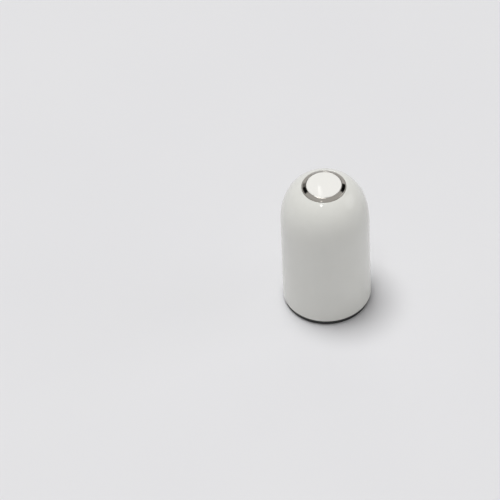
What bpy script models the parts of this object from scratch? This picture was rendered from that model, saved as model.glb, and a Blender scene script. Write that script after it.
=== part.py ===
"""Magnetic slip-on cap for a slim stylus, built as separate solids on one upright axis.

The cap stands on its lip at z = 0 with its domed end up. Inside the shell, from the mouth
up, come the dark lip collar, a ring of arc magnets and the liner that holds them apart.
The metal tip ring is clamped to the dome by the tip disc, whose stem snaps under the roof.
"""
import math

import bmesh
import bpy
from mathutils import Matrix, Vector

MM = 0.001

# Outer shell
CAP_DIAMETER = 8.9 * MM
SKIRT_WALL = 0.55 * MM
SKIRT_EDGE_RADIUS = 0.15 * MM
DOME_SPRING = 0.1 * MM
DOME_HEIGHT = 5.6 * MM
DOME_FULLNESS = 2.52
DOME_WALL = 1.1 * MM

# Socket for the charging plug, measured from the edge of the skirt
SOCKET_DEPTH = 9.2 * MM
LINER_WALL = 0.42 * MM
LINER_ROOF = 0.6 * MM

# Lip collar snapped into the mouth, with a flange under the skirt
LIP_HEIGHT = 0.5 * MM
LIP_RECESS = 0.15 * MM
LIP_CHAMFER = 0.06 * MM
COLLAR_GRIP = 1.1 * MM
COLLAR_CHAMFER = 0.1 * MM
BEAD_HEIGHT = 0.4 * MM
BEAD_RISE = 0.08 * MM

# Magnets between the ribs of the liner
MAGNET_COUNT = 6
MAGNET_HEIGHT = 2.8 * MM
RIB_WIDTH = 0.5 * MM

# Tip ring and tip disc
TIP_RING_DIAMETER = 4.38 * MM
TIP_RING_BAND = 0.4 * MM
TIP_RING_RISE = 0.2 * MM
TIP_SEAT_DEPTH = 1.0 * MM
RING_FOOT_HEIGHT = 0.3 * MM
RING_FOOT_REACH = 0.55 * MM
TIP_ROOF = 0.8 * MM
DISC_CROWN = 0.05 * MM
DISC_EDGE_RADIUS = 0.06 * MM
STEM_DIAMETER = 1.5 * MM
BARB_OVERHANG = 0.13 * MM
BARB_HEIGHT = 0.45 * MM
STEM_SLOT = 0.34 * MM

# Clearances between pieces
FIT_GAP = 0.03 * MM
SEAT_GAP = 0.02 * MM

# Steps around the axis and along the curves
TURN_STEPS = 48
DOME_STEPS = 16
FILLET_STEPS = 4
MAGNET_STEPS = 8

# Values that follow from those above
CAP_RADIUS = CAP_DIAMETER / 2
STACK_RADIUS = CAP_RADIUS - SKIRT_WALL
STACK_FIT_RADIUS = STACK_RADIUS - FIT_GAP
SOCKET_RADIUS = STACK_FIT_RADIUS - LINER_WALL
SKIRT_Z = LIP_HEIGHT
LIP_RADIUS = CAP_RADIUS - LIP_RECESS
SOCKET_END_Z = SKIRT_Z + SOCKET_DEPTH
LINER_TOP_Z = SOCKET_END_Z + LINER_ROOF
SHOULDER_Z = LINER_TOP_Z + SEAT_GAP
DOME_START_Z = LINER_TOP_Z + DOME_SPRING
COLLAR_TOP_Z = SKIRT_Z + COLLAR_GRIP
MAGNET_BOTTOM_Z = COLLAR_TOP_Z + SEAT_GAP
MAGNET_TOP_Z = MAGNET_BOTTOM_Z + MAGNET_HEIGHT
TIP_RING_RADIUS = TIP_RING_DIAMETER / 2
TIP_SEAT_RADIUS = TIP_RING_RADIUS + FIT_GAP
RING_INNER_RADIUS = TIP_RING_RADIUS - TIP_RING_BAND
DISC_RADIUS = RING_INNER_RADIUS - FIT_GAP
STEM_RADIUS = STEM_DIAMETER / 2
STEM_HOLE_RADIUS = STEM_RADIUS + FIT_GAP


def dome_point(angle, offset=0.0):
    """Point (radius, height) on the dome, moved inward along its normal by offset."""
    power = 2 / DOME_FULLNESS
    across = math.cos(angle) ** power
    up = math.sin(angle) ** power
    slope_r = across ** (DOME_FULLNESS - 1) / CAP_RADIUS
    slope_z = up ** (DOME_FULLNESS - 1) / DOME_HEIGHT
    length = math.hypot(slope_r, slope_z)
    radius = CAP_RADIUS * across - offset * slope_r / length
    height = DOME_START_Z + DOME_HEIGHT * up - offset * slope_z / length
    return radius, height


def dome_height(radius):
    """Height of the outer dome face at a radius."""
    share = 1 - (radius / CAP_RADIUS) ** DOME_FULLNESS
    return DOME_START_Z + DOME_HEIGHT * share ** (1 / DOME_FULLNESS)


def dome_angle(radius):
    """Curve angle at which the outer dome face reaches a radius."""
    return math.acos((radius / CAP_RADIUS) ** (DOME_FULLNESS / 2))


def outer_dome():
    """Outer face from the edge of the tip seat down to the straight wall."""
    top = dome_angle(TIP_SEAT_RADIUS)
    return [dome_point(top * (1 - step / DOME_STEPS)) for step in range(DOME_STEPS + 1)]


def inner_dome(roof_z):
    """Inner face of the shell at an even wall, from the shoulder up to the flat roof."""
    wall = [(CAP_RADIUS - DOME_WALL, SHOULDER_Z)]
    for step in range(DOME_STEPS + 1):
        point = dome_point(math.pi / 2 * step / DOME_STEPS, DOME_WALL)
        last = wall[-1]
        if point[1] >= roof_z:
            share = (roof_z - last[1]) / (point[1] - last[1])
            wall.append((last[0] + share * (point[0] - last[0]), roof_z))
            break
        if point[1] > SHOULDER_Z:
            wall.append(point)
    return wall


def fillet(centre, radius, start, end):
    """Quarter-round of points about a centre, from one angle to another in degrees."""
    points = []
    for step in range(FILLET_STEPS + 1):
        angle = math.radians(start + (end - start) * step / FILLET_STEPS)
        points.append((centre[0] + radius * math.cos(angle), centre[1] + radius * math.sin(angle)))
    return points


def material(name, colour, roughness, metallic):
    made = bpy.data.materials.new(name)
    made.use_nodes = True
    shader = made.node_tree.nodes["Principled BSDF"]
    shader.inputs["Base Color"].default_value = (*colour, 1.0)
    shader.inputs["Roughness"].default_value = roughness
    shader.inputs["Metallic"].default_value = metallic
    return made


def finish(name, shape, look, base_z):
    """Turn a bmesh into a named object whose own origin lies on the axis at base_z."""
    bmesh.ops.translate(shape, verts=shape.verts, vec=(0, 0, -base_z))
    bmesh.ops.recalc_face_normals(shape, faces=shape.faces)
    mesh = bpy.data.meshes.new(name)
    shape.to_mesh(mesh)
    shape.free()
    mesh.materials.append(look)
    mesh.shade_smooth()
    mesh.set_sharp_from_angle(angle=math.radians(28))
    made = bpy.data.objects.new(name, mesh)
    made.location = (0, 0, base_z)
    bpy.context.collection.objects.link(made)
    return made


def profile_loop(shape, points):
    verts = [shape.verts.new((radius, 0, height)) for radius, height in points]
    edges = [shape.edges.new((verts[i - 1], verts[i])) for i in range(len(verts))]
    return verts, edges


def turned(points):
    """Closed (radius, height) outline turned all the way round the axis."""
    shape = bmesh.new()
    verts, edges = profile_loop(shape, points)
    on_axis = [e for e in edges if all(v.co.x < 1e-9 for v in e.verts)]
    swept = [e for e in edges if e not in on_axis]
    bmesh.ops.delete(shape, geom=on_axis, context="EDGES_FACES")
    bmesh.ops.spin(
        shape, geom=verts + swept, axis=(0, 0, 1), cent=(0, 0, 0),
        angle=2 * math.pi, steps=TURN_STEPS, use_merge=True,
    )
    bmesh.ops.remove_doubles(shape, verts=shape.verts, dist=1e-8)
    bmesh.ops.dissolve_degenerate(shape, edges=shape.edges, dist=1e-9)
    return shape


def sector(points, middle, span, steps):
    """Closed outline swept through part of a turn, with flat ends."""
    shape = bmesh.new()
    verts, edges = profile_loop(shape, points)
    start = shape.faces.new(verts)
    bmesh.ops.rotate(
        shape, verts=verts, cent=(0, 0, 0), matrix=Matrix.Rotation(middle - span / 2, 3, "Z"),
    )
    bmesh.ops.spin(
        shape, geom=[start], axis=(0, 0, 1), cent=(0, 0, 0), angle=span, steps=steps,
    )
    return shape


def cut(target, cutter):
    """Take a helper solid away from a piece, then drop the helper."""
    cutter.hide_render = True
    cutter.display_type = "WIRE"
    step = target.modifiers.new("cut", "BOOLEAN")
    step.operation = "DIFFERENCE"
    step.solver = "EXACT"
    step.object = cutter
    bpy.context.view_layer.update()
    depsgraph = bpy.context.evaluated_depsgraph_get()
    result = bpy.data.meshes.new_from_object(target.evaluated_get(depsgraph))
    target.modifiers.remove(step)
    result.name = target.name
    target.data = result
    bpy.data.objects.remove(cutter)


def make_shell(look):
    ring_edge = dome_height(TIP_SEAT_RADIUS)
    seat_z = ring_edge - TIP_SEAT_DEPTH
    roof_z = seat_z - TIP_ROOF
    groove_radius = STACK_RADIUS + BEAD_RISE
    groove_middle = SKIRT_Z + COLLAR_GRIP / 2
    groove_half = BEAD_HEIGHT / 2 + FIT_GAP
    corner = (CAP_RADIUS - SKIRT_EDGE_RADIUS, SKIRT_Z + SKIRT_EDGE_RADIUS)
    points = outer_dome()
    points += fillet(corner, SKIRT_EDGE_RADIUS, 0, -90)
    points += [
        (STACK_RADIUS, SKIRT_Z),
        (STACK_RADIUS, groove_middle - groove_half),
        (groove_radius, groove_middle - groove_half + BEAD_RISE),
        (groove_radius, groove_middle + groove_half - BEAD_RISE),
        (STACK_RADIUS, groove_middle + groove_half),
        (STACK_RADIUS, SHOULDER_Z),
    ]
    points += inner_dome(roof_z)
    points += [
        (STEM_HOLE_RADIUS, roof_z),
        (STEM_HOLE_RADIUS, seat_z),
        (TIP_SEAT_RADIUS, seat_z),
    ]
    return finish("outer_shell", turned(points), look, SKIRT_Z), seat_z, roof_z


def make_collar(look):
    bead_radius = STACK_FIT_RADIUS + BEAD_RISE
    bead_middle = SKIRT_Z + COLLAR_GRIP / 2
    bead_half = BEAD_HEIGHT / 2
    points = [
        (SOCKET_RADIUS + COLLAR_CHAMFER, 0),
        (LIP_RADIUS - LIP_CHAMFER, 0),
        (LIP_RADIUS, LIP_CHAMFER),
        (LIP_RADIUS, SKIRT_Z - SEAT_GAP),
        (STACK_FIT_RADIUS, SKIRT_Z - SEAT_GAP),
        (STACK_FIT_RADIUS, bead_middle - bead_half),
        (bead_radius, bead_middle - bead_half + BEAD_RISE),
        (bead_radius, bead_middle + bead_half - BEAD_RISE),
        (STACK_FIT_RADIUS, bead_middle + bead_half),
        (STACK_FIT_RADIUS, COLLAR_TOP_Z),
        (SOCKET_RADIUS, COLLAR_TOP_Z),
        (SOCKET_RADIUS, COLLAR_CHAMFER),
    ]
    return finish("lip_collar", turned(points), look, 0)


def rib_angle(width, radius):
    return 2 * math.asin(width / 2 / radius)


def make_liner(look):
    points = [
        (0, LINER_TOP_Z),
        (STACK_FIT_RADIUS, LINER_TOP_Z),
        (STACK_FIT_RADIUS, MAGNET_BOTTOM_Z),
        (SOCKET_RADIUS, MAGNET_BOTTOM_Z),
        (SOCKET_RADIUS, SOCKET_END_Z),
        (0, SOCKET_END_Z),
    ]
    liner = finish("socket_liner", turned(points), look, MAGNET_BOTTOM_Z)
    pitch = 2 * math.pi / MAGNET_COUNT
    notch = [
        (SOCKET_RADIUS - LINER_WALL, MAGNET_BOTTOM_Z - LINER_WALL),
        (STACK_FIT_RADIUS + LINER_WALL, MAGNET_BOTTOM_Z - LINER_WALL),
        (STACK_FIT_RADIUS + LINER_WALL, MAGNET_TOP_Z + SEAT_GAP),
        (SOCKET_RADIUS - LINER_WALL, MAGNET_TOP_Z + SEAT_GAP),
    ]
    span = pitch - rib_angle(RIB_WIDTH, SOCKET_RADIUS)
    for index in range(MAGNET_COUNT):
        cutter = finish(
            "notch_cutter", sector(notch, (index + 0.5) * pitch, span, MAGNET_STEPS), look, 0,
        )
        cut(liner, cutter)
    liner.data.shade_smooth()
    liner.data.set_sharp_from_angle(angle=math.radians(28))
    return liner


def make_magnets(look):
    pitch = 2 * math.pi / MAGNET_COUNT
    span = pitch - rib_angle(RIB_WIDTH + 2 * FIT_GAP, SOCKET_RADIUS)
    section = [
        (SOCKET_RADIUS, MAGNET_BOTTOM_Z),
        (STACK_FIT_RADIUS, MAGNET_BOTTOM_Z),
        (STACK_FIT_RADIUS, MAGNET_TOP_Z),
        (SOCKET_RADIUS, MAGNET_TOP_Z),
    ]
    made = []
    for index in range(MAGNET_COUNT):
        shape = sector(section, (index + 0.5) * pitch, span, MAGNET_STEPS)
        made.append(finish("magnet_%d" % (index + 1), shape, look, MAGNET_BOTTOM_Z))
    return made


def make_tip_ring(look, seat_z):
    base = seat_z + SEAT_GAP
    edge = dome_height(TIP_RING_RADIUS)
    foot_radius = RING_INNER_RADIUS - RING_FOOT_REACH
    foot_z = base + RING_FOOT_HEIGHT
    points = [
        (RING_INNER_RADIUS, edge + TIP_RING_RISE),
        (TIP_RING_RADIUS, edge),
        (TIP_RING_RADIUS, base),
        (foot_radius, base),
        (foot_radius, foot_z),
        (RING_INNER_RADIUS, foot_z),
    ]
    return finish("tip_ring", turned(points), look, base), edge + TIP_RING_RISE, foot_z


def make_tip_disc(look, rim_z, foot_z, roof_z):
    head_z = foot_z + SEAT_GAP
    barb_z = roof_z - SEAT_GAP
    barb_radius = STEM_HOLE_RADIUS + BARB_OVERHANG
    flat_radius = DISC_RADIUS - DISC_EDGE_RADIUS
    points = [(0, rim_z + DISC_CROWN)]
    for step in range(1, FILLET_STEPS):
        share = step / FILLET_STEPS
        points.append((flat_radius * share, rim_z + DISC_CROWN * (1 - share * share)))
    points += fillet((flat_radius, rim_z - DISC_EDGE_RADIUS), DISC_EDGE_RADIUS, 90, 0)
    points += [
        (DISC_RADIUS, head_z),
        (STEM_RADIUS, head_z),
        (STEM_RADIUS, barb_z),
        (barb_radius, barb_z),
        (STEM_RADIUS, barb_z - BARB_HEIGHT),
        (0, barb_z - BARB_HEIGHT),
    ]
    disc = finish("tip_disc", turned(points), look, head_z)
    slot = bmesh.new()
    bmesh.ops.create_cube(slot, size=1)
    slot_top = head_z - RING_FOOT_HEIGHT
    slot_bottom = barb_z - 2 * BARB_HEIGHT
    bmesh.ops.scale(slot, verts=slot.verts, vec=(STEM_SLOT, 4 * barb_radius, slot_top - slot_bottom))
    bmesh.ops.translate(slot, verts=slot.verts, vec=Vector((0, 0, (slot_top + slot_bottom) / 2)))
    cut(disc, finish("slot_cutter", slot, look, 0))
    disc.data.shade_smooth()
    disc.data.set_sharp_from_angle(angle=math.radians(28))
    return disc


for old in list(bpy.data.objects):
    bpy.data.objects.remove(old)

gloss_white = material("gloss white moulded plastic", (0.83, 0.82, 0.79), 0.14, 0.0)
matt_white = material("matt white moulded liner plastic", (0.70, 0.69, 0.67), 0.45, 0.0)
mirror_steel = material("mirror polished stainless steel", (0.62, 0.61, 0.59), 0.06, 1.0)
lip_black = material("black moulded collar plastic", (0.018, 0.018, 0.019), 0.38, 0.0)
nickel_plate = material("nickel plated magnet", (0.58, 0.55, 0.49), 0.22, 1.0)
disc_white = material("gloss white disc plastic", (0.85, 0.84, 0.81), 0.12, 0.0)

root = bpy.data.objects.new("stylus_cap", None)
bpy.context.collection.objects.link(root)

shell, seat_height, roof_height = make_shell(gloss_white)
ring, ring_rim, ring_foot = make_tip_ring(mirror_steel, seat_height)
pieces = [shell, ring, make_tip_disc(disc_white, ring_rim, ring_foot, roof_height)]
pieces += [make_liner(matt_white), make_collar(lip_black)]
pieces += make_magnets(nickel_plate)
for piece in pieces:
    piece.parent = root
bpy.context.view_layer.update()
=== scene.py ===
import math

import bpy
import numpy as np
from mathutils import Matrix, Vector


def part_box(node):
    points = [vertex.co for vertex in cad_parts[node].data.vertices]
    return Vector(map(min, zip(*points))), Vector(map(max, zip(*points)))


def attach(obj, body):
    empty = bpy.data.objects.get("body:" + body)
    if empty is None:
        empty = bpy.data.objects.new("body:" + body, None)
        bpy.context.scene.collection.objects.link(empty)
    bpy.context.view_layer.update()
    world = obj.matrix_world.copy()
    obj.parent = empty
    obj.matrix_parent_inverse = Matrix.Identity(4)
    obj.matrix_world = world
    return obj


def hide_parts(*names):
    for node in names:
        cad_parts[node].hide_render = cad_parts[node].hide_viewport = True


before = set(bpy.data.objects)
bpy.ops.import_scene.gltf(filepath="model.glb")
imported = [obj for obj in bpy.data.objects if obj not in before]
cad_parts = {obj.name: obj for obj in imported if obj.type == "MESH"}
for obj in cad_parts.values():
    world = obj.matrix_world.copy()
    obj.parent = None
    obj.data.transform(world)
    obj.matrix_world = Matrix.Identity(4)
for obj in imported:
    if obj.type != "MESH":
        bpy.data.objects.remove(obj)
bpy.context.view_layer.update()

mm = 0.001
print("frame loaded:", len(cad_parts), "solids")


def hexLinear(text):
    # sRGB hex to linear light, with alpha 1
    srgb = np.array([int(text[i:i + 2], 16) for i in (1, 3, 5)]) / 255
    linear = np.where(srgb <= 0.04045, srgb / 12.92, ((srgb + 0.055) / 1.055) ** 2.4)
    return (*linear.tolist(), 1.0)


def addNode(tree, kind, values=None, links=None, **settings):
    # one node: its settings, socket values by name or number, and links into it
    node = tree.nodes.new(kind)
    for name, value in settings.items():
        setattr(node, name, value)
    for name, value in (values or {}).items():
        node.inputs[name].default_value = value
    for name, socket in (links or {}).items():
        tree.links.new(socket, node.inputs[name])
    return node


def newMaterial(name, **sockets):
    # a principled material with these values on its sockets
    material = bpy.data.materials.new(name)
    material.use_nodes = True
    shader = material.node_tree.nodes["Principled BSDF"]
    for socket, value in sockets.items():
        shader.inputs[socket].default_value = value
    return material, material.node_tree, shader


def cornerArc(before, corner, after, radius, steps=7, flank=1.35):
    # a corner of an outline rounded off: a circle of that radius touching both sides, with one more
    # point on each side, flank times as far from the corner, so that the flats beside it shade flat
    back = (before - corner) / np.linalg.norm(before - corner)
    ahead = (after - corner) / np.linalg.norm(after - corner)
    half = math.acos(np.clip(back @ ahead, -1, 1)) / 2
    centre = corner + (back + ahead) / np.linalg.norm(back + ahead) * radius / math.sin(half)
    reach = radius / math.tan(half)
    first = (corner + back * reach - centre) / radius
    last = (corner + ahead * reach - centre) / radius
    turn = math.pi - 2 * half
    share = np.linspace(0, 1, steps)[:, None]
    arc = (np.sin((1 - share) * turn) * first + np.sin(share * turn) * last) / math.sin(turn)
    return np.vstack([
        corner + back * reach * flank, centre + radius * arc, corner + ahead * reach * flank,
    ])


def roundedOutline(corners):
    # outline through corners given as (radius, height, rounding); rounding 0 leaves a plain point
    places = np.array([corner[:2] for corner in corners], float)
    count = len(corners)
    return np.vstack([
        cornerArc(places[i - 1], places[i], places[(i + 1) % count], corners[i][2]) if corners[i][2]
        else places[i:i + 1]
        for i in range(count)
    ])


def turnedSurface(outline, columns=240):
    # outline (radius, height) carried round the axis: x = r cos a, y = r sin a, z = h;
    # an outline that starts and ends on the axis closes there in one point each
    angle = np.linspace(0, 2 * math.pi, columns, endpoint=False)
    onAxis = outline[:, 0] < 1e-6 * mm
    ring = outline[~onAxis]
    rows = len(ring)
    points = np.stack([
        ring[:, :1] * np.cos(angle), ring[:, :1] * np.sin(angle),
        np.repeat(ring[:, 1:], columns, axis=1),
    ], axis=-1).reshape(-1, 3)
    closed = not onAxis.any()
    row, column = np.meshgrid(np.arange(rows if closed else rows - 1), np.arange(columns), indexing="ij")
    nextRow, nextColumn = (row + 1) % rows, (column + 1) % columns
    faces = [np.stack([
        row * columns + column, nextRow * columns + column,
        nextRow * columns + nextColumn, row * columns + nextColumn,
    ], axis=-1).reshape(-1, 4)]
    if not closed:
        points = np.vstack([points, np.c_[np.zeros((2, 2)), outline[onAxis, 1]]])
        around = np.arange(columns)
        start, end = rows * columns, rows * columns + 1
        last = (rows - 1) * columns
        faces += [
            np.c_[np.full(columns, start), around, (around + 1) % columns],
            np.c_[np.full(columns, end), last + (around + 1) % columns, last + around],
        ]
    return points, faces


def arcBlock(block, middle, span, along=24, steps=5):
    # a block bent round the axis with rounded edges. On the six faces of a box, each point p goes
    # to q + e n: q is p held inside the box shrunk by the rounding e, and n points from q to p.
    # Then x is the way out from the axis, y the way round it and z the height.
    reach = (block["inner"] + block["outer"]) / 2
    half = np.array([
        (block["outer"] - block["inner"]) / 2, span / 2 * reach, (block["high"] - block["low"]) / 2,
    ])
    edge = block["edge"]
    core = half - edge
    bend = edge * np.tan(np.linspace(0, math.pi / 4, steps))
    stations = [  # close together round the edges, evenly spaced between them
        np.concatenate([-core[i] - bend[::-1], np.linspace(-core[i], core[i], count)[1:-1], core[i] + bend])
        for i, count in enumerate((3, along, 3))
    ]
    points, faces, made = [], [], 0
    for axis in range(3):
        across, up = (axis + 1) % 3, (axis + 2) % 3
        grid = np.stack(np.meshgrid(stations[across], stations[up], indexing="ij"), axis=-1)
        rows, columns = grid.shape[:2]
        row, column = np.meshgrid(np.arange(rows - 1), np.arange(columns - 1), indexing="ij")
        corner = (row * columns + column).ravel()
        quads = np.c_[corner, corner + columns, corner + columns + 1, corner + 1]
        for side in (-1, 1):
            face = np.empty((rows * columns, 3))
            face[:, [across, up]] = grid.reshape(-1, 2)
            face[:, axis] = side * half[axis]
            points.append(face)
            faces.append(made + quads[:, ::side])
            made += rows * columns
    # the six faces share the points along their edges
    points, merged = np.unique(np.vstack(points).round(9), axis=0, return_inverse=True)
    held = np.clip(points, -core, core)
    out = points - held
    points = held + edge * out / np.linalg.norm(out, axis=1)[:, None]
    radius, angle = reach + points[:, 0], middle + points[:, 1] / reach
    height = (block["low"] + block["high"]) / 2 + points[:, 2]
    bent = np.c_[radius * np.cos(angle), radius * np.sin(angle), height]
    return bent, [merged.reshape(-1)[np.vstack(faces)]]


def joined(surfaces):
    # several closed surfaces as one: the faces of each count on from the points before them
    starts = np.cumsum([0] + [len(points) for points, faces in surfaces])
    shifted = [group + start for start, (points, faces) in zip(starts, surfaces) for group in faces]
    return np.vstack([points for points, faces in surfaces]), shifted


def meshFrom(name, surface, material, hardFrom=40.0):
    # smooth mesh of a surface, given as points and groups of faces with equally many corners;
    # edges that turn by more degrees than hardFrom stay hard
    points, faces = surface
    mesh = bpy.data.meshes.new(name)
    mesh.from_pydata(points.tolist(), [], [face for group in faces for face in group.tolist()])
    mesh.materials.append(material)
    mesh.validate()
    mesh.shade_smooth()
    mesh.set_sharp_from_angle(angle=math.radians(hardFrom))
    made = bpy.data.objects.new(name, mesh)
    bpy.context.collection.objects.link(made)
    return made


def addPiece(name, surface, material, node):
    # a finished piece in place of its CAD solid
    made = meshFrom(name, surface, material)
    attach(made, "root")
    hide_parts(node)


noiseSpan = {"From Min": 0.3, "From Max": 0.7}  # most values of a noise texture lie in here
shellGloss = dict(
    colours=("#E6E6E1", "#E2E2DD"), cloudSize=2.4 * mm, roughness=0.07, hazeSize=0.9 * mm,
    hazeShare=(0.75, 1.35), ior=1.55, rippleSize=1.6 * mm, rippleDepth=0.0004 * mm,
)
discGloss = dict(shellGloss, colours=("#F0EFEB", "#EDECE8"), roughness=0.055, rippleDepth=0.0003 * mm)


def mouldedGloss(name, finish):
    # ABS and polycarbonate blend, moulded in a polished tool: a white body under its own gloss,
    # with the slow ripple that the cooling skin leaves and a little haze from handling
    roughness, colours = finish["roughness"], finish["colours"]
    material, tree, shader = newMaterial(name, Roughness=roughness, IOR=finish["ior"])
    place = addNode(tree, "ShaderNodeTexCoord").outputs["Object"]
    cloud = addNode(tree, "ShaderNodeTexNoise", {"Scale": 1 / finish["cloudSize"], "Detail": 3.0},
                    {"Vector": place})
    tint = addNode(tree, "ShaderNodeMix", {"A": hexLinear(colours[0]), "B": hexLinear(colours[1])},
                   {"Factor": cloud.outputs["Fac"]}, data_type="RGBA")
    tree.links.new(tint.outputs["Result"], shader.inputs["Base Color"])
    haze = addNode(tree, "ShaderNodeTexNoise", {"Scale": 1 / finish["hazeSize"], "Detail": 4.0},
                   {"Vector": place})
    least, most = finish["hazeShare"]
    rough = addNode(tree, "ShaderNodeMapRange", {
        **noiseSpan, "To Min": roughness * least, "To Max": roughness * most,
    }, {"Value": haze.outputs["Fac"]})
    tree.links.new(rough.outputs["Result"], shader.inputs["Roughness"])
    ripple = addNode(tree, "ShaderNodeTexNoise", {"Scale": 1 / finish["rippleSize"], "Detail": 1.0},
                     {"Vector": place})
    bump = addNode(tree, "ShaderNodeBump", {"Strength": 1.0, "Distance": finish["rippleDepth"]},
                   {"Height": ripple.outputs["Fac"]})
    tree.links.new(bump.outputs["Normal"], shader.inputs["Normal"])
    return material


shellPlastic = mouldedGloss("white moulded ABS, tool polished", shellGloss)
discPlastic = mouldedGloss("white moulded ABS, tip disc", discGloss)

ringPolish = dict(
    colours=("#BFBBB5", "#B7B3AD"), roughness=0.05, roughShare=(0.7, 1.4),
    lineStep=0.05 * mm, lineDepth=0.00004 * mm,
)


def turnedSteel(name, finish):
    # stainless steel turned and then polished on the lathe: fine rings round the axis, drawn as
    # noise on the distance from the axis and the height; they are finer still on the real piece
    roughness, colours = finish["roughness"], finish["colours"]
    material, tree, shader = newMaterial(name, Metallic=1.0, Roughness=roughness)
    place = addNode(tree, "ShaderNodeTexCoord").outputs["Object"]
    split = addNode(tree, "ShaderNodeSeparateXYZ", links={"Vector": place})
    flat = addNode(tree, "ShaderNodeVectorMath", {1: (1.0, 1.0, 0.0)}, {0: place}, operation="MULTIPLY")
    radius = addNode(tree, "ShaderNodeVectorMath", links={0: flat.outputs["Vector"]}, operation="LENGTH")
    along = addNode(tree, "ShaderNodeCombineXYZ",
                    links={"X": radius.outputs["Value"], "Z": split.outputs["Z"]})
    lines = addNode(tree, "ShaderNodeTexNoise", {"Scale": 1 / finish["lineStep"], "Detail": 2.0},
                    {"Vector": along.outputs["Vector"]})
    tint = addNode(tree, "ShaderNodeMix", {"A": hexLinear(colours[0]), "B": hexLinear(colours[1])},
                   {"Factor": lines.outputs["Fac"]}, data_type="RGBA")
    tree.links.new(tint.outputs["Result"], shader.inputs["Base Color"])
    least, most = finish["roughShare"]
    rough = addNode(tree, "ShaderNodeMapRange", {
        **noiseSpan, "To Min": roughness * least, "To Max": roughness * most,
    }, {"Value": lines.outputs["Fac"]})
    tree.links.new(rough.outputs["Result"], shader.inputs["Roughness"])
    bump = addNode(tree, "ShaderNodeBump", {"Strength": 1.0, "Distance": finish["lineDepth"]},
                   {"Height": lines.outputs["Fac"]})
    tree.links.new(bump.outputs["Normal"], shader.inputs["Normal"])
    return material


ringSteel = turnedSteel("stainless steel, mirror polished", ringPolish)

magnetPlate = dict(
    colours=("#CFC8B8", "#BDB6A6"), roughness=0.24, roughShare=(0.8, 1.3), grainSize=0.18 * mm,
    dimpleSize=0.22 * mm, dimpleDepth=0.004 * mm, dimpleStrength=0.6,
)


def platedNickel(name, finish):
    # sintered magnet with barrel nickel plate: satin, faintly yellow, small dimples from tumbling
    roughness, colours = finish["roughness"], finish["colours"]
    material, tree, shader = newMaterial(name, Metallic=1.0, Roughness=roughness)
    place = addNode(tree, "ShaderNodeTexCoord").outputs["Object"]
    grain = addNode(tree, "ShaderNodeTexNoise", {"Scale": 1 / finish["grainSize"], "Detail": 5.0},
                    {"Vector": place})
    tint = addNode(tree, "ShaderNodeMix", {"A": hexLinear(colours[0]), "B": hexLinear(colours[1])},
                   {"Factor": grain.outputs["Fac"]}, data_type="RGBA")
    tree.links.new(tint.outputs["Result"], shader.inputs["Base Color"])
    least, most = finish["roughShare"]
    rough = addNode(tree, "ShaderNodeMapRange", {
        **noiseSpan, "To Min": roughness * least, "To Max": roughness * most,
    }, {"Value": grain.outputs["Fac"]})
    tree.links.new(rough.outputs["Result"], shader.inputs["Roughness"])
    dimple = addNode(tree, "ShaderNodeTexVoronoi", {"Scale": 1 / finish["dimpleSize"]}, {"Vector": place})
    bump = addNode(tree, "ShaderNodeBump", {
        "Strength": finish["dimpleStrength"], "Distance": finish["dimpleDepth"],
    }, {"Height": dimple.outputs["Distance"]})
    tree.links.new(bump.outputs["Normal"], shader.inputs["Normal"])
    return material


magnetNickel = platedNickel("sintered magnet, barrel nickel plated", magnetPlate)

linerGrain = dict(
    colours=("#DAD8D3", "#D0CEC9"), roughness=0.48, ior=1.54,
    grainSize=0.07 * mm, grainDepth=0.006 * mm, grainStrength=0.7,
)
# the collar's near-black colour is painted shade: it stands in for the shadowed gap between the skirt and
# the table
collarShadeAndGrain = dict(linerGrain, colours=("#242425", "#1D1D1E"), roughness=0.42)


def sparkGrain(name, finish):
    # plastic moulded in a spark eroded tool: matt, with a fine even grain
    colours = finish["colours"]
    material, tree, shader = newMaterial(name, Roughness=finish["roughness"], IOR=finish["ior"])
    place = addNode(tree, "ShaderNodeTexCoord").outputs["Object"]
    grain = addNode(tree, "ShaderNodeTexNoise", {"Scale": 1 / finish["grainSize"], "Detail": 3.0},
                    {"Vector": place})
    tint = addNode(tree, "ShaderNodeMix", {"A": hexLinear(colours[0]), "B": hexLinear(colours[1])},
                   {"Factor": grain.outputs["Fac"]}, data_type="RGBA")
    tree.links.new(tint.outputs["Result"], shader.inputs["Base Color"])
    bump = addNode(tree, "ShaderNodeBump", {
        "Strength": finish["grainStrength"], "Distance": finish["grainDepth"],
    }, {"Height": grain.outputs["Fac"]})
    tree.links.new(bump.outputs["Normal"], shader.inputs["Normal"])
    return material


linerPlastic = sparkGrain("white moulded ABS, spark eroded grain", linerGrain)
collarPaintedShade = sparkGrain("black painted shade under the skirt, spark eroded grain", collarShadeAndGrain)
print("finishes made")


shell = dict(
    radius=4.45 * mm, skirtZ=0.5 * mm, skirtEdge=0.15 * mm, domeStart=10.4 * mm, domeHeight=5.6 * mm,
    fullness=2.52, domeWall=1.1 * mm, domeRows=90, bore=3.9 * mm, boreEdge=0.04 * mm, shoulderZ=10.32 * mm,
    grooveLow=0.82 * mm, grooveHigh=1.28 * mm, grooveDepth=0.08 * mm, grooveEdge=0.02 * mm,
    seatRadius=2.22 * mm, seatEdge=0.05 * mm, seatDepth=1.0 * mm, roof=0.8 * mm, stemHole=0.78 * mm,
    innerStart=0.02, innerMargin=0.02 * mm,  # inner dome: its first angle, the space clear at both ends
    columns=256,
)


def domeHeightAt(radius):
    # height of the dome at a radius: h = start + H (1 - (r/R)^n)^(1/n)
    share = 1 - (radius / shell["radius"]) ** shell["fullness"]
    return shell["domeStart"] + shell["domeHeight"] * share ** (1 / shell["fullness"])


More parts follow.
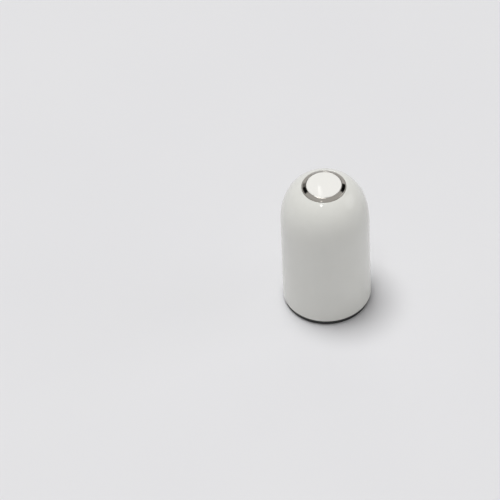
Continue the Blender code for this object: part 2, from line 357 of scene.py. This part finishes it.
def domeCurve(angle, inset=0.0):
    # superellipse: r = R cos(t)^(2/n), h = start + H sin(t)^(2/n), moved in along its normal
    n = shell["fullness"]
    across, up = np.cos(angle) ** (2 / n), np.sin(angle) ** (2 / n)
    normal = np.c_[across ** (n - 1) / shell["radius"], up ** (n - 1) / shell["domeHeight"]]
    normal /= np.linalg.norm(normal, axis=1)[:, None]
    curve = np.c_[shell["radius"] * across, shell["domeStart"] + shell["domeHeight"] * up]
    return curve - inset * normal


def shellOutline():
    # down the dome and the straight wall, round the skirt's edge, up the bore past the snap groove,
    # over the shoulder, up the inner dome to the flat roof, and out through the stepped tip seat
    s = shell
    edgeRadius = s["seatRadius"] + 2 * s["seatEdge"]
    topAngle = math.acos((edgeRadius / s["radius"]) ** (s["fullness"] / 2))
    outer = domeCurve(np.linspace(topAngle, 0.0, s["domeRows"]))
    seatTop = domeHeightAt(s["seatRadius"])
    seatZ = seatTop - s["seatDepth"]
    roofZ = seatZ - s["roof"]
    groove, grooveEdge = s["bore"] + s["grooveDepth"], s["grooveEdge"]
    inside = roundedOutline([
        (s["radius"], s["domeStart"], 0),
        (s["radius"], s["skirtZ"], s["skirtEdge"]),
        (s["bore"], s["skirtZ"], s["boreEdge"]),
        (s["bore"], s["grooveLow"], grooveEdge),
        (groove, s["grooveLow"] + s["grooveDepth"], grooveEdge),
        (groove, s["grooveHigh"] - s["grooveDepth"], grooveEdge),
        (s["bore"], s["grooveHigh"], grooveEdge),
        (s["bore"], s["shoulderZ"], s["boreEdge"]),
        (s["radius"] - s["domeWall"], s["shoulderZ"], 0),
    ])
    inner = domeCurve(np.linspace(s["innerStart"], math.pi / 2, s["domeRows"]), s["domeWall"])
    margin = s["innerMargin"]
    inner = inner[(inner[:, 1] < roofZ - margin) & (inner[:, 1] > s["shoulderZ"] + margin)]
    seat = roundedOutline([
        (inner[-1, 0] - margin, roofZ, 0),
        (s["stemHole"], roofZ, s["boreEdge"]),
        (s["stemHole"], seatZ, s["boreEdge"]),
        (s["seatRadius"], seatZ, s["boreEdge"]),
        (s["seatRadius"], seatTop, s["seatEdge"]),
        (*outer[0], 0),
    ])
    return np.vstack([outer[:-1], inside, inner, seat[:-1]])


shellSurface = turnedSurface(shellOutline(), shell["columns"])
addPiece("capShell", shellSurface, shellPlastic, "outer_shell")
print("outer shell made")


ring = dict(
    outer=2.19 * mm, band=0.40 * mm, rise=0.2 * mm, edge=0.02 * mm, outerEdge=0.12 * mm,
    foot=0.3 * mm, footReach=0.55 * mm, footEdge=0.05 * mm,
)
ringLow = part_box("tip_ring")[0].z
ringEdgeZ = domeHeightAt(ring["outer"])


def ringOutline():
    # an angle section: sloped top band that rolls over at its outer edge, straight outer wall,
    # inner foot under the disc
    r = ring
    inner = r["outer"] - r["band"]
    foot = inner - r["footReach"]
    return roundedOutline([
        (inner, ringEdgeZ + r["rise"], r["edge"]),
        (r["outer"], ringEdgeZ, r["outerEdge"]),
        (r["outer"], ringLow, r["footEdge"]),
        (foot, ringLow, r["footEdge"]),
        (foot, ringLow + r["foot"], r["footEdge"]),
        (inner, ringLow + r["foot"], r["footEdge"]),
    ])


addPiece("tipRing", turnedSurface(ringOutline()), ringSteel, "tip_ring")

disc = dict(
    radius=1.76 * mm, crown=0.05 * mm, edge=0.06 * mm, underEdge=0.04 * mm, seatGap=0.02 * mm,
    stem=0.75 * mm, barb=0.91 * mm, barbHeight=0.45 * mm, slot=0.34 * mm, slotBelow=0.3 * mm,
    crownRows=24, crownEnd=0.96,  # the crown's last row, as a share of the way to the rounded edge
)
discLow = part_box("tip_disc")[0].z
discHead = ringLow + ring["foot"] + disc["seatGap"]
slotTop = discHead - disc["slotBelow"]


def discOutline():
    # crowned top h = rim + c (1 - (r/R)^2), rounded edge, straight side, then the stem down to its slot
    d = disc
    rim = ringEdgeZ + ring["rise"]
    flat = d["radius"] - d["edge"]
    across = np.linspace(0, flat * d["crownEnd"], d["crownRows"])
    crown = np.c_[across, rim + d["crown"] * (1 - (across / flat) ** 2)]
    below = roundedOutline([
        (flat, rim, 0),
        (d["radius"], rim, d["edge"]),
        (d["radius"], discHead, d["underEdge"]),
        (d["stem"], discHead, d["underEdge"]),
        (d["stem"], slotTop, d["underEdge"]),
        (0.0, slotTop, 0),
    ])
    return np.vstack([crown, below[1:]])


def prong(turn, steps=24):
    # half of the split stem: the part of a round bar beyond the slot, x = r cos t from half the slot
    # outwards and y = r sin t, closed by a flat; r follows the stem, the barb and its taper
    d = disc
    profile = np.array([
        (d["stem"], slotTop + d["underEdge"]), (d["stem"], discLow + d["barbHeight"]),
        (d["barb"], discLow + d["barbHeight"]), (d["stem"], discLow),
    ])
    radius, height = profile[:, :1], profile[:, 1:]
    widest = np.arccos(d["slot"] / 2 / radius)
    angle = widest * np.linspace(1, -1, steps)
    x, y = radius * np.cos(angle), radius * np.sin(angle)
    points = np.stack([
        x * math.cos(turn) - y * math.sin(turn), x * math.sin(turn) + y * math.cos(turn),
        np.repeat(height, steps, axis=1),
    ], axis=-1).reshape(-1, 3)
    rows = len(profile)
    row, column = np.meshgrid(np.arange(rows - 1), np.arange(steps), indexing="ij")
    nextColumn = (column + 1) % steps
    sides = np.stack([
        row * steps + column, row * steps + nextColumn,
        (row + 1) * steps + nextColumn, (row + 1) * steps + column,
    ], axis=-1).reshape(-1, 4)
    top = np.arange(steps)[None]
    return points, [sides, top[:, ::-1], (rows - 1) * steps + top]


discSurface = joined([turnedSurface(discOutline()), prong(0.0), prong(math.pi)])
addPiece("tipDisc", discSurface, discPlastic, "tip_disc")
print("tip ring and disc made")


collar = dict(
    flange=4.3 * mm, flangeTop=0.48 * mm, edge=0.06 * mm, outer=3.87 * mm, inner=3.45 * mm,
    mouthEdge=0.1 * mm, top=1.6 * mm, topEdge=0.05 * mm, beadLow=0.85 * mm, beadHigh=1.25 * mm,
    beadRise=0.08 * mm, beadEdge=0.02 * mm,
)


def collarOutline():
    # spigot with its snap bead, flange under the skirt, straight bore with a rounded mouth
    c = collar
    bead = c["outer"] + c["beadRise"]
    return roundedOutline([
        (c["outer"], c["top"], c["topEdge"]),
        (c["outer"], c["beadHigh"], c["beadEdge"]),
        (bead, c["beadHigh"] - c["beadRise"], c["beadEdge"]),
        (bead, c["beadLow"] + c["beadRise"], c["beadEdge"]),
        (c["outer"], c["beadLow"], c["beadEdge"]),
        (c["outer"], c["flangeTop"], c["beadEdge"]),
        (c["flange"], c["flangeTop"], c["beadEdge"]),
        (c["flange"], 0, c["edge"]),
        (c["inner"], 0, c["mouthEdge"]),
        (c["inner"], c["top"], c["topEdge"]),
    ])


# the collar's black is painted shade for the dark gap under the skirt
addPiece("lipCollar", turnedSurface(collarOutline()), collarPaintedShade, "lip_collar")

liner = dict(
    outer=3.87 * mm, inner=3.45 * mm, notchTop=4.44 * mm, socketEnd=9.7 * mm, top=10.3 * mm,
    edge=0.06 * mm, endRound=0.3 * mm,
)
rib = dict(
    inner=3.454 * mm, outer=3.866 * mm, low=1.62 * mm, high=4.7 * mm, edge=0.06 * mm, width=0.5 * mm,
)
magnet = dict(
    inner=3.45 * mm, outer=3.87 * mm, low=1.62 * mm, high=4.42 * mm, edge=0.07 * mm,
    spacing=0.56 * mm, count=6,
)
pitch = 2 * math.pi / magnet["count"]


def linerOutline():
    # closed cup above the magnets: flat roof, straight outside, straight bore with a rounded end
    c = liner
    return roundedOutline([
        (0.0, c["top"], 0),
        (c["outer"], c["top"], c["edge"]),
        (c["outer"], c["notchTop"], c["edge"]),
        (c["inner"], c["notchTop"], c["edge"]),
        (c["inner"], c["socketEnd"], c["endRound"]),
        (0.0, c["socketEnd"], 0),
    ])


def angleOf(width):
    # angle round the axis that a width takes up at the bore
    return 2 * math.asin(width / 2 / liner["inner"])


ribs = [arcBlock(rib, index * pitch, angleOf(rib["width"]), along=5) for index in range(magnet["count"])]
linerSurface = joined([turnedSurface(linerOutline())] + ribs)
addPiece("socketLiner", linerSurface, linerPlastic, "socket_liner")

for index in range(magnet["count"]):  # each midway between two ribs
    block = arcBlock(magnet, (index + 0.5) * pitch, pitch - angleOf(magnet["spacing"]))
    addPiece("magnet%d" % (index + 1), block, magnetNickel, "magnet_%d" % (index + 1))
print("collar, liner and magnets made")


floor = dict(half=4.0, colours=("#E3E3E5", "#DFDFE2"), mottleSize=25.0 * mm, roughness=0.55, ior=1.45)


def makeFloor():
    # plain pale floor, far larger than the view and very faintly mottled
    colours, half = floor["colours"], floor["half"]
    material, tree, shader = newMaterial("plain pale table", Roughness=floor["roughness"], IOR=floor["ior"])
    place = addNode(tree, "ShaderNodeTexCoord").outputs["Object"]
    mottle = addNode(tree, "ShaderNodeTexNoise", {"Scale": 1 / floor["mottleSize"], "Detail": 2.0},
                     {"Vector": place})
    tint = addNode(tree, "ShaderNodeMix", {"A": hexLinear(colours[0]), "B": hexLinear(colours[1])},
                   {"Factor": mottle.outputs["Fac"]}, data_type="RGBA")
    tree.links.new(tint.outputs["Result"], shader.inputs["Base Color"])
    corners = np.array([(-half, -half, 0), (half, -half, 0), (half, half, 0), (-half, half, 0)])
    return meshFrom("floor", (corners, [np.arange(len(corners))[None]]), material)


makeFloor()

# angles in degrees, distances and sizes in metres, power in watts
room = dict(colour="#FFFEFC", ambient=0.37, seen=0.63, dark=0.01)
darkPanels = (  # round, black over the core's share of the radius and fading out to its full size
    dict(azimuth=-28.0, elevation=30.0, radius=14.0, core=0.5),
    dict(azimuth=-50.0, elevation=36.0, radius=14.0, core=0.6),
    dict(azimuth=47.0, elevation=30.5, radius=12.0, core=0.7),
    dict(azimuth=61.0, elevation=36.0, radius=10.0, core=0.7),
)
keyPanel = dict(azimuth=-53.0, elevation=80.0, distance=3.0, size=(1.21, 1.21), power=56.0)
fillPanel = dict(azimuth=86.0, elevation=25.0, distance=3.0, size=(2.0, 1.6), power=6.0)
stripLamp = dict(azimuth=-156.0, elevation=70.0, distance=3.0, size=(0.25, 0.45), power=2.8)
slitLamp = dict(azimuth=-1.0, elevation=50.4, distance=3.0, size=(0.04, 0.34), power=0.12)


def towards(azimuth, elevation):
    # unit vector; azimuth 0 is straight behind the object, positive to the right
    a, e = math.radians(azimuth), math.radians(elevation)
    return Vector((math.sin(a) * math.cos(e), math.cos(a) * math.cos(e), math.sin(e)))


def makeWorld():
    # even grey room, paler where it is seen or mirrored, with black panels on both sides behind
    # that give the polished ring its dark patches
    world = bpy.data.worlds.new("studio room")
    bpy.context.scene.world = world
    world.use_nodes = True
    tree = world.node_tree
    tree.nodes.clear()
    path = addNode(tree, "ShaderNodeLightPath").outputs
    seen = addNode(tree, "ShaderNodeMath", links={0: path["Is Camera Ray"], 1: path["Is Glossy Ray"]},
                   operation="MAXIMUM")
    seen = addNode(tree, "ShaderNodeMath", links={0: seen.outputs["Value"], 1: path["Is Transmission Ray"]},
                   operation="MAXIMUM")
    level = addNode(tree, "ShaderNodeMapRange", {"To Min": room["ambient"], "To Max": room["seen"]},
                    {"Value": seen.outputs["Value"]}).outputs["Result"]
    direction = addNode(tree, "ShaderNodeTexCoord").outputs["Generated"]
    for panel in darkPanels:
        middle = towards(panel["azimuth"], panel["elevation"])
        radius = math.radians(panel["radius"])
        near = addNode(tree, "ShaderNodeVectorMath", {1: middle}, {0: direction}, operation="DOT_PRODUCT")
        share = addNode(tree, "ShaderNodeMapRange", {
            "From Min": math.cos(radius), "From Max": math.cos(radius * panel["core"]),
            "To Min": 1.0, "To Max": room["dark"],
        }, {"Value": near.outputs["Value"]}, interpolation_type="SMOOTHSTEP")
        level = addNode(tree, "ShaderNodeMath", links={0: level, 1: share.outputs["Result"]},
                        operation="MULTIPLY").outputs["Value"]
    wallPaint = addNode(tree, "ShaderNodeBackground", {"Color": hexLinear(room["colour"])},
                        {"Strength": level})
    addNode(tree, "ShaderNodeOutputWorld", links={"Surface": wallPaint.outputs["Background"]})


def makeLamp(name, lamp):
    # soft round-edged lamp that faces the object and isn't seen itself
    data = bpy.data.lights.new(name, "AREA")
    data.shape = "ELLIPSE"
    data.size, data.size_y = lamp["size"]
    data.energy = lamp["power"]
    made = bpy.data.objects.new(name, data)
    made.location = towards(lamp["azimuth"], lamp["elevation"]) * lamp["distance"]
    made.rotation_euler = (-made.location).to_track_quat("-Z", "Y").to_euler()
    made.visible_camera = False
    bpy.context.collection.objects.link(made)


makeWorld()
makeLamp("key panel", keyPanel)
makeLamp("fill panel", fillPanel)
makeLamp("strip lamp", stripLamp)  # gives the glint on the dome in front of the ring
makeLamp("slit lamp", slitLamp)  # gives the thin streak on the disc

view = dict(  # focal length and frame width in pixels, angles in degrees
    focal=6000.0, frame=500.0, roll=-2.519, pitch=46.817,
    belowDome=9.7 * mm, base=(7.7733 * mm, 3.8562 * mm, 605.576 * mm),  # that point: right, down, ahead
)


def makeCamera():
    # pitch down from the horizon, then roll about the view line; a point on the axis below
    # the dome lies at the stated place to the right of, below and ahead of the lens
    p, r = math.radians(view["pitch"]), math.radians(view["roll"])
    right, down = Vector((1, 0, 0)), Vector((0, -math.sin(p), -math.cos(p)))
    ahead = Vector((0, math.cos(p), -math.sin(p)))
    rolledRight = math.cos(r) * right - math.sin(r) * down
    rolledDown = math.sin(r) * right + math.cos(r) * down
    base = view["base"]
    axisPoint = Vector((0, 0, shell["domeStart"] - view["belowDome"]))
    place = axisPoint - rolledRight * base[0] - rolledDown * base[1] - ahead * base[2]
    axes = Matrix((rolledRight, -rolledDown, -ahead)).transposed().to_4x4()
    data = bpy.data.cameras.new("camera")
    data.sensor_width = 36.0
    data.lens = data.sensor_width * view["focal"] / view["frame"]
    data.clip_start = 0.01
    data.clip_end = 20.0
    made = bpy.data.objects.new("camera", data)
    made.matrix_world = Matrix.Translation(place) @ axes
    bpy.context.collection.objects.link(made)
    bpy.context.scene.camera = made


makeCamera()
bpy.context.scene.view_settings.view_transform = "Standard"
print("floor, light and camera made")

bpy.context.view_layer.update()
